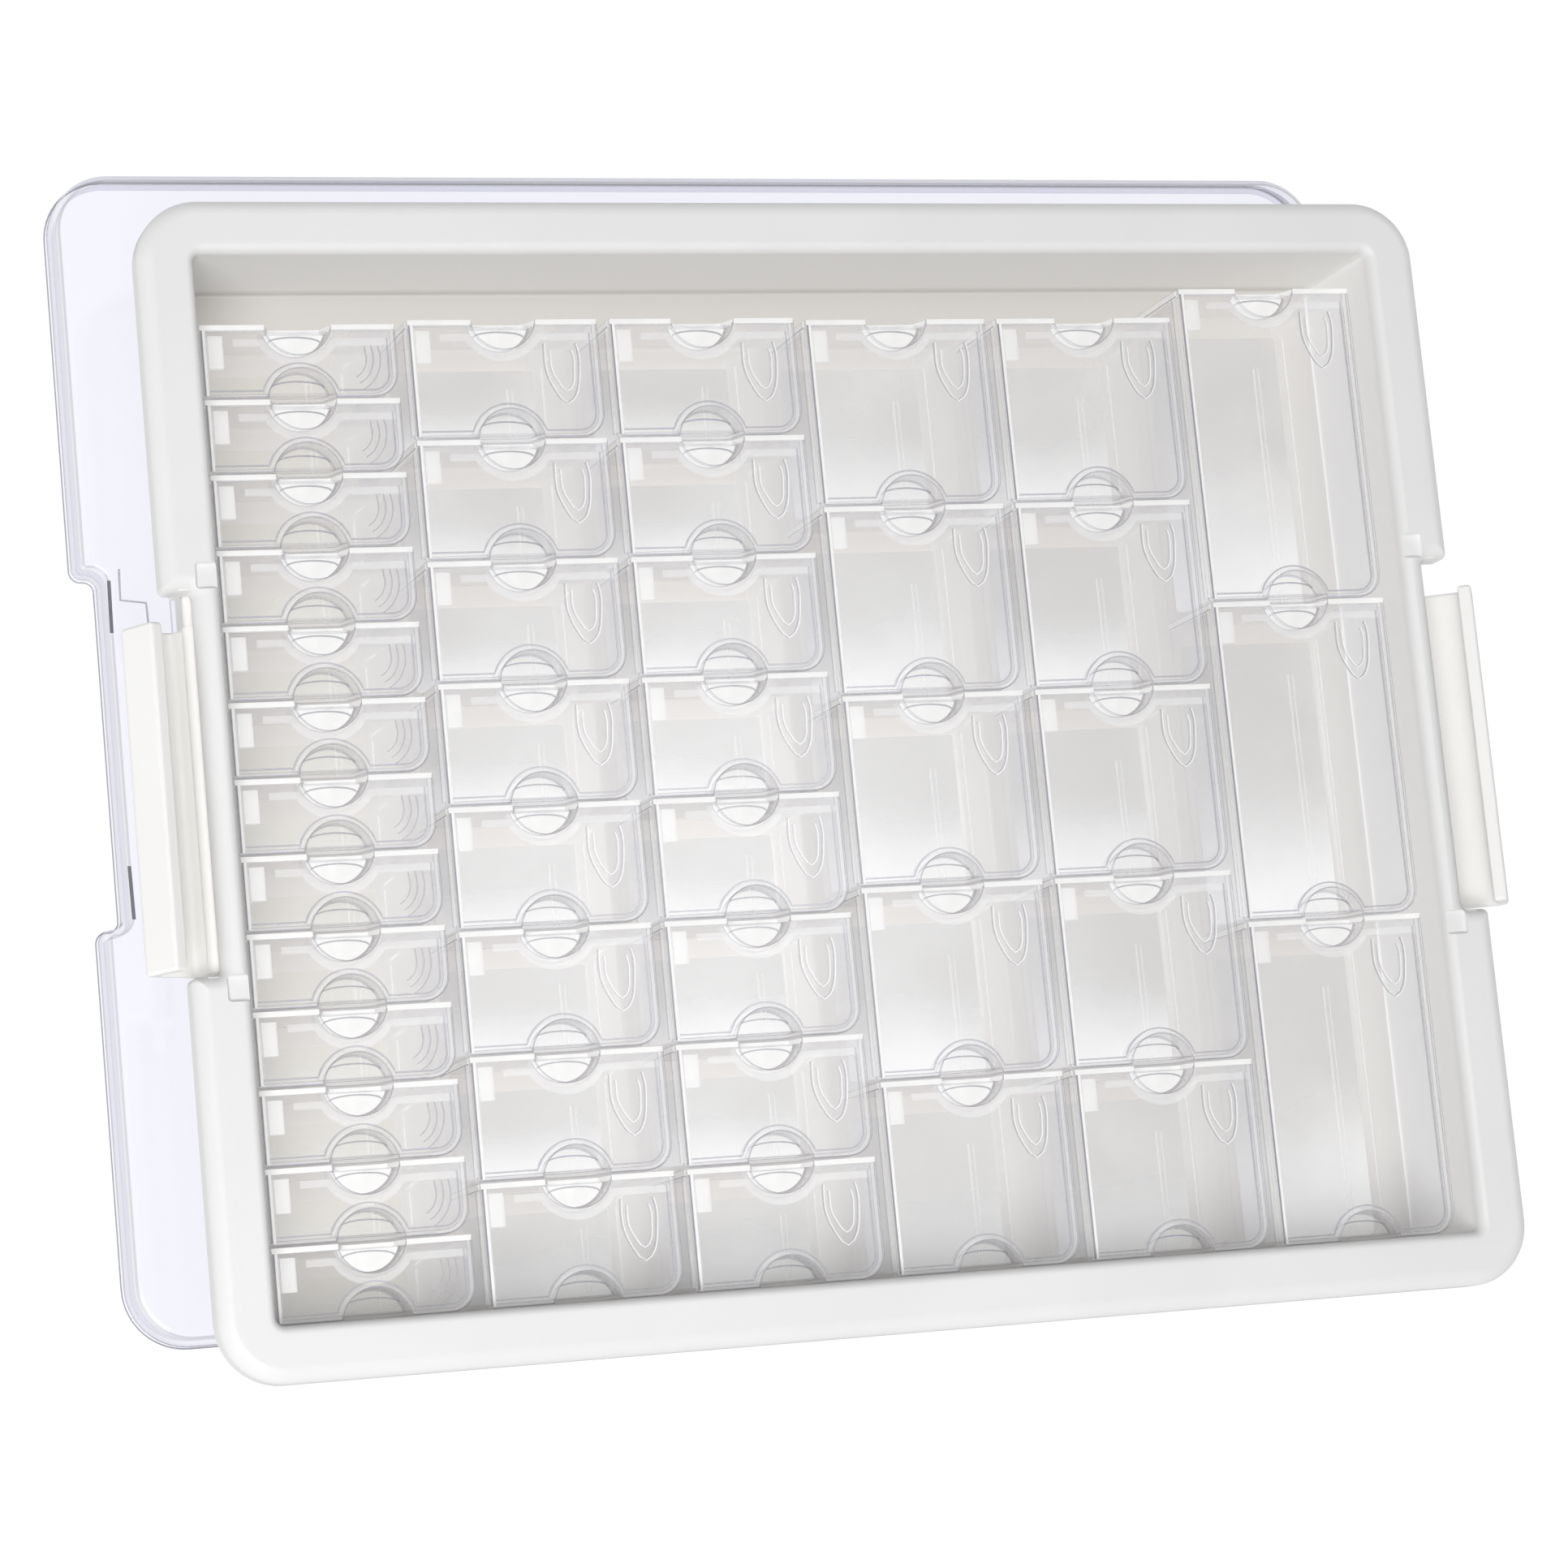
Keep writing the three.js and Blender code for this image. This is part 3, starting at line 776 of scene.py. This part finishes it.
def add_box_walls(shell, width):
    def outline(inset):
        small = max(0.9 - inset, 0.15)
        return box_outline(width, [inset] * 4, [small, max(6 - inset, 1), small, small])

    rings = [lift(outline(inset), z)
             for inset, z in [(1.0, 0.0), (0.35, 0.12), (0.08, 0.45), (0, 1.0)]]
    # over the wall's top edge: (inset, height from the wall top)
    for inset, rise in [(0, -0.22), (0.06, -0.06), (0.22, 0), (0.98, 0), (1.14, -0.06),
                        (BOX_WALL, -0.22)]:
        rings.append([(x, y, wall_top(width, x, y) + rise) for x, y in outline(inset)])
    # inside, with the floor swept up at the right-hand end and eased along the far wall
    for height in (8.0, 6.4, 5.0, 4.0, 3.1, 2.3, 1.6, 1.0, 0.5, 0.15, 0.0):
        sides = [BOX_WALL + sweep_in(radius, height) for radius in (1.0, 1.4, 8.0, 4.6)]
        radii = [0.6, max(4.8 - sweep_in(8.0, height) * 0.4, 1.2), 0.6, 0.6]
        rings.append(lift(box_outline(width, sides, radii), FLOOR_Z + height))
    # the wall's top edge: grey lines of painted shade either side of a pale band of painted
    # highlight, and across the far notch bright painted highlight
    mats = [BOX] * 4 + [GREY, GREY, PALE, GREY, GREY] + [BOX] * 11
    made = [shell.ring(points) for points in rings]
    for k in range(len(made) - 1):
        def pick(i):
            x, y, _ = rings[k][i]
            if 4 <= k <= 8 and y > -1.3 and abs(x - NOTCH_X) < 8.2:
                return BRIGHT
            # painted warm light on the inner face of the far wall and its foot
            if k >= 9 and y > -6.5 and 1.6 < x < 38:
                return BOX_PAINTED_LIGHT
            return mats[k]
        shell.bridge(made[k], made[k + 1], pick)
    shell.face(made[0][::-1], BOX)
    shell.face(made[-1], BOX_FLOOR if width > 18 else TINY_FLOOR)


def add_finger_pockets(shell, width):
    """Pockets below the lid, at both long edges, with a shallow oval step in each floor."""
    floor = HEIGHT - NOTCH_DEPTH
    # (radius beyond the notch's, height) up the outside and down the inside
    profile = [(0.4, floor - 1.2), (1.0, floor - 0.7), (1.0, WALL_TOP), (0, WALL_TOP),
               (0, floor + 0.5), (-0.5, floor)]
    # (arc centre y, inward direction, floor, half width, y and rise of the oval step)
    for centre, inward, floor_mat, step_half, step_y, step_rise in (
            (NOTCH_OUT, -1, BRIGHT, 6.2, -3.1, 1.3),
            (-width - NOTCH_OUT, 1, PALE, 6.4, -width + 3.3, 1.6)):
        # the far pocket's floor is bright and the near one's pale: painted highlight
        rings = []
        for extra, z in profile:
            radius = NOTCH_RADIUS + extra
            angle = notch_angle(radius, 1.3)
            points = arc(NOTCH_X, 0, radius, 180 + angle, 360 - angle, 20)
            rings.append([(x, centre - inward * y, z) for x, y in points])
        made = shell.stack(rings, [BOX, BOX, PALE, BOX, GREY])
        shell.face(made[0][::-1], BOX)
        shell.face(made[-1], floor_mat)
        angles = [math.pi * i / 14 for i in range(15)]
        shell.strip([(NOTCH_X + step_half * math.cos(angle), step_y + step_rise * math.sin(angle))
                     for angle in angles], 0.34, floor + 0.02, floor + 0.4, GREY)


def add_box(shell, width):
    add_box_walls(shell, width)
    # corner edge at the far-left upright, painted white as a highlight, with a grey line of painted
    # shade at each side
    shell.block(-0.05, -1.25, 1.25, 0.03, 0.3, HEIGHT - 2.0, BRIGHT)
    for y0, y1 in ((-1.47, -1.25), (0.03, 0.12)):
        shell.block(-0.05, y0, 0.12, y1, 0.3, HEIGHT - 2.0, GREY)
    add_finger_pockets(shell, width)
    # two fine ribs along the floor, and one on its swept right-hand end, pale to draw painted
    # highlight lines
    for x, rib in ((31.0, 0.5), (32.3, 0.3)):
        shell.strip([(x, -width + 3.2), (x, max(-0.36 * width, -14))], rib,
                    FLOOR_Z + 0.01, FLOOR_Z + 0.34, PALE)
    shell.strip([(40.0, -width + 4.2), (40.0, -5.4)], 0.5, FLOOR_Z + 0.42, FLOOR_Z + 0.66, PALE)
    # hinge ear at the near-left corner
    shell.block(0.4, -width + 0.1, 2.4, -width + 1.25, HEIGHT - 4.4, HEIGHT - 2.3, PALE)


def lid_outline(width, inset):
    radii = [max(0.7 - inset, 0.1), max(6 - inset, 1), max(0.9 - inset, 0.1),
             max(0.7 - inset, 0.1)]
    turn = rounded(rectangle(0.15 + inset, -width + inset, LENGTH - inset, -inset), radii,
                   CORNER_STEPS)
    radius = NOTCH_RADIUS + inset
    angle = notch_angle(radius, inset)
    far = arc(NOTCH_X, NOTCH_OUT, radius, 360 - angle, 180 + angle, 24)
    near = arc(NOTCH_X, -width - NOTCH_OUT, radius, 180 - angle, angle, 24)
    return (turn[:CORNER_POINTS] + near + turn[CORNER_POINTS:3 * CORNER_POINTS]
            + far + turn[3 * CORNER_POINTS:])


def add_lid_lip(shell):
    """Turned-down lip that follows the dip of the far edge across the notch."""
    path = [(x, dip(x)) for x in (NOTCH_X - 8.2 + 16.4 * i / 16 for i in range(17))]
    rings = []
    for y in (-0.12, -0.95):
        rings.append(shell.ring([(x, y, HEIGHT - 0.1 - drop) for x, drop in path]))
        rings.append(shell.ring([(x, y, HEIGHT + 0.1 - drop * 0.98) for x, drop in path]))
    low_out, high_out, low_in, high_in = rings
    for i in range(len(path) - 1):
        j = i + 1
        # bright painted highlight on the lip, grey painted shade on its outer face
        shell.face((high_out[i], high_in[i], high_in[j], high_out[j]), BRIGHT)
        shell.face((low_out[i], low_out[j], low_in[j], low_in[i]), BRIGHT)
        shell.face((high_out[i], high_out[j], low_out[j], low_out[i]), GREY)
        shell.face((low_in[i], low_in[j], high_in[j], high_in[i]), BRIGHT)
    shell.face((low_out[0], low_in[0], high_in[0], high_out[0]), BRIGHT)
    shell.face((low_out[-1], high_out[-1], high_in[-1], low_in[-1]), BRIGHT)


def add_catch_arcs(shell, width):
    """Three nested arcs under a tiny lid, each run on straight towards the far side."""
    for radius in (5.2, 6.9, 8.6):
        path = arc(LENGTH - 12.4, -width + 9.6, radius, -62, 12, 10)
        path.append((path[-1][0] - 0.2, -4.9))
        shell.strip(path, 0.3, LID_Z - 0.3, LID_Z - 0.02, GREY)


def add_catch_leaf(shell):
    """Leaf-shaped catch outline, one inside the other, each with a bright line of painted highlight
    beside it.
    """
    for scale, drop, mat in ((1.0, 0, GREY), (0.68, 1.6, FAINT)):
        path = []
        for i in range(29):
            run = i / 28 * 2 - 1
            rise = abs(run)
            half = 4.3 * scale * math.sin(rise * 0.68 * math.pi) ** 0.55
            path.append((37.3 + math.copysign(half, run) + 0.9 * (1 - rise)
                         + 0.12 * math.sin(9 * rise),
                         -5.6 - 14.6 * scale * (1 - rise) - drop))
        shell.strip(path, 0.34, LID_Z - 0.3, LID_Z - 0.02, mat)
        shell.strip([(x + 0.36, y - 0.1) for x, y in path], 0.26, LID_Z - 0.28, LID_Z - 0.02,
                    BRIGHT)


def add_lid(shell, width, kind):
    profile = [(0.22, LID_Z), (0.03, LID_Z + 0.16), (0, LID_Z + 0.3), (0, HEIGHT - 0.3),
               (0.06, HEIGHT - 0.1), (0.3, HEIGHT)]
    # grey bands round the lid's edges are painted shade lines
    made = shell.stack([lift(lid_outline(width, inset), z) for inset, z in profile],
                       [GREY, LID, LID, GREY, GREY])
    shell.face(made[0][::-1], LID)
    shell.face(made[-1], LID)
    # bead along the far edge, either side of the finger notch, bright with painted highlight and
    # with grey sides of painted shade
    for x0, x1 in ((0.0, NOTCH_X - 8.0), (NOTCH_X + 8.0, LENGTH - 0.3)):
        shell.strip([(x0, -0.66), (x1, -0.66)], 1.25, LID_Z + 0.05, HEIGHT + 0.12, BRIGHT, GREY)
    shell.block(0.0, -1.25, 1.1, -0.03, LID_Z - 0.38, LID_Z + 0.04, BRIGHT)
    # along the left edge, a dark line of painted shade and a bead bright with painted highlight
    for x, rib, rise, mat, side in ((0.42, 0.34, 0.06, EDGE, EDGE), (0.95, 0.62, 0.1, BRIGHT, GREY)):
        shell.strip([(x, -1.3), (x, -width + 0.5)], rib, HEIGHT - 0.03, HEIGHT + rise, mat, side)
    add_lid_lip(shell)
    # locating rib under the lid: straight, round the notch, straight again
    radius = NOTCH_RADIUS + 1.9
    angle = notch_angle(radius, 3.9)
    bend = arc(NOTCH_X, NOTCH_OUT, radius, 180 + angle, 360 - angle, 18)
    shell.strip([(8.2, -3.9), (12.5, -3.9)] + bend + [(34.0, -3.9), (45.8, -3.9)], 1.7,
                LID_Z - 0.85, LID_Z - 0.03, PALE)
    # catch pad and hinge tongue at the left-hand end
    shell.block(2.1, -10.1, 5.6, -2.3, LID_Z - 1.6, LID_Z - 0.03, MILKY)
    shell.block(0.3, -width + 1.5, 1.9, -1.5, LID_Z - 2.5, LID_Z - 0.03, PALE)
    # rim line along the near edge, and round the corner along the right-hand end
    radius = NOTCH_RADIUS + 1.5
    angle = notch_angle(radius, 1.9)
    bend = arc(NOTCH_X, -width - NOTCH_OUT, radius, 180 - angle, angle, 20)
    corner = arc(LENGTH - 6, -width + 6, 4.1, -90, 0, 8)
    shell.strip([(1.2, -width + 1.9)] + bend + corner + [(LENGTH - 1.9, -3.0)], 0.42,
                LID_Z - 0.35, LID_Z - 0.02, GREY)
    if kind == "tiny":
        add_catch_arcs(shell, width)
    else:
        add_catch_leaf(shell)


@functools.cache
def container_meshes(kind):
    """The box, the lid, and the two together, shared by all containers of a kind."""
    width = WIDTHS[kind]
    box, lid, both = Shell(BOX), Shell(LID), Shell(BOX, LID)
    for shell in (box, both):
        add_box(shell, width)
    for shell in (lid, both):
        add_lid(shell, width, kind)
    return box.mesh(kind + "_body"), lid.mesh(kind + "_lid"), both.mesh(kind + "_closed")


for name in sorted(frame["nodes"]):
    if "_box_" not in name:
        continue
    low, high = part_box(name)
    box, lid, both = container_meshes(name.split("_")[0])
    at = (low.x / MM, high.y / MM, low.z / MM)
    lid_node = name.replace("_box_", "_lid_")
    if lid_node in frame["nodes"]:
        place(box, name + "_body", name, "box_clear", at)
        place(lid, lid_node + "_flap", lid_node, "lid_clear", at)
    else:
        place(both, name + "_closed", name, "box_clear", at)

# clear pieces cast no shadow and bounce no light
for item in bpy.data.objects:
    if item.name.endswith(("_body", "_flap", "_closed", "_shell")) and item.name != "tray_body":
        item.visible_shadow = False
        item.visible_diffuse = False

# ------------------------------------------------------------------ stage, light, camera
scene = bpy.context.scene
MIDDLE = Vector((TRAY_X * MM, TRAY_Y * MM, 0))  # the tray's middle, in metres


def paper():
    """Near-white floor that mostly glows by itself, so shadows stay faint."""
    graph = material_graph("floor_paper")
    diffuse = graph.node("BsdfDiffuse", Color=(0.93, 0.93, 0.93))
    glow = graph.node("Emission", Strength=1.05)
    return graph.surface(graph.node("MixShader", 0.9, diffuse, glow))


floor = bpy.data.objects.new("floor", bpy.data.meshes.new("floor"))
work = bmesh.new()
bmesh.ops.create_grid(work, x_segments=1, y_segments=1, size=6.0)
work.to_mesh(floor.data)
work.free()
floor.location.z = -0.0006
scene.collection.objects.link(floor)
floor.data.materials.append(paper())

# an even white surround in sight and in reflections, dimmer as a light so that the overhead
# lamp models the form
scene.world = bpy.data.worlds.new("studio")
graph = Graph(scene.world)
background = graph.tree.nodes["Background"].inputs
graph.feed(background["Color"], (0.98, 0.985, 1.0))
rays = graph.node("LightPath").outputs
seen = graph.maths("MAXIMUM", rays["Is Camera Ray"], rays["Is Glossy Ray"])
graph.feed(background["Strength"], graph.maths("MULTIPLY_ADD", seen, 0.74, 0.30))


def aim(direction):
    return direction.to_track_quat("-Z", "Y").to_euler()


def lamp(name, at, look, size, power, colour=(1, 1, 1)):
    """A round lamp at a point, aimed at another."""
    light = bpy.data.lights.new(name, "AREA")
    light.shape = "DISK"
    light.size = size
    light.energy = power
    light.color = colour
    item = bpy.data.objects.new(name, light)
    item.location = at
    item.rotation_euler = aim(Vector(look) - Vector(at))
    scene.collection.objects.link(item)
    return item


glare = lamp("glare", at=MIDDLE + Vector((0.352, 0.144, 1.166)), look=(-0.033, -0.022, 0.04),
             size=0.22, power=0.85)
glare.visible_diffuse = False
lamp("front_left", at=(-0.55, -0.52, 1.15), look=(-0.05, -0.05, 0.02), size=0.8, power=9.6,
     colour=(0.99, 0.99, 1.0))
overhead = bpy.data.objects.new("overhead", bpy.data.lights.new("overhead", "SUN"))
overhead.data.energy = 0.74
overhead.data.angle = math.radians(46)
overhead.data.color = (1.0, 0.995, 0.985)
overhead.rotation_euler = aim(Vector((0.16, 0.20, -1)))
overhead.visible_glossy = False
scene.collection.objects.link(overhead)

camera = bpy.data.objects.new("camera", bpy.data.cameras.new("camera"))
camera.data.sensor_width = 36
camera.data.lens = 108.7919255
camera.data.clip_start, camera.data.clip_end = 0.01, 50
right = Vector((0.94130, -0.09472, 0.32400))
up = Vector((0.03905, 0.98394, 0.17419))
forward = Vector((0.33530, 0.15131, -0.92988))
rotation = Matrix((right, up, -forward)).transposed()
station = MIDDLE + Vector((-0.39376, -0.17535, 1.09148))
camera.matrix_world = Matrix.Translation(station) @ rotation.to_4x4()
scene.collection.objects.link(camera)
scene.camera = camera

scene.view_settings.view_transform = "Standard"
scene.cycles.use_denoising = True
scene.cycles.transparent_max_bounces = 48
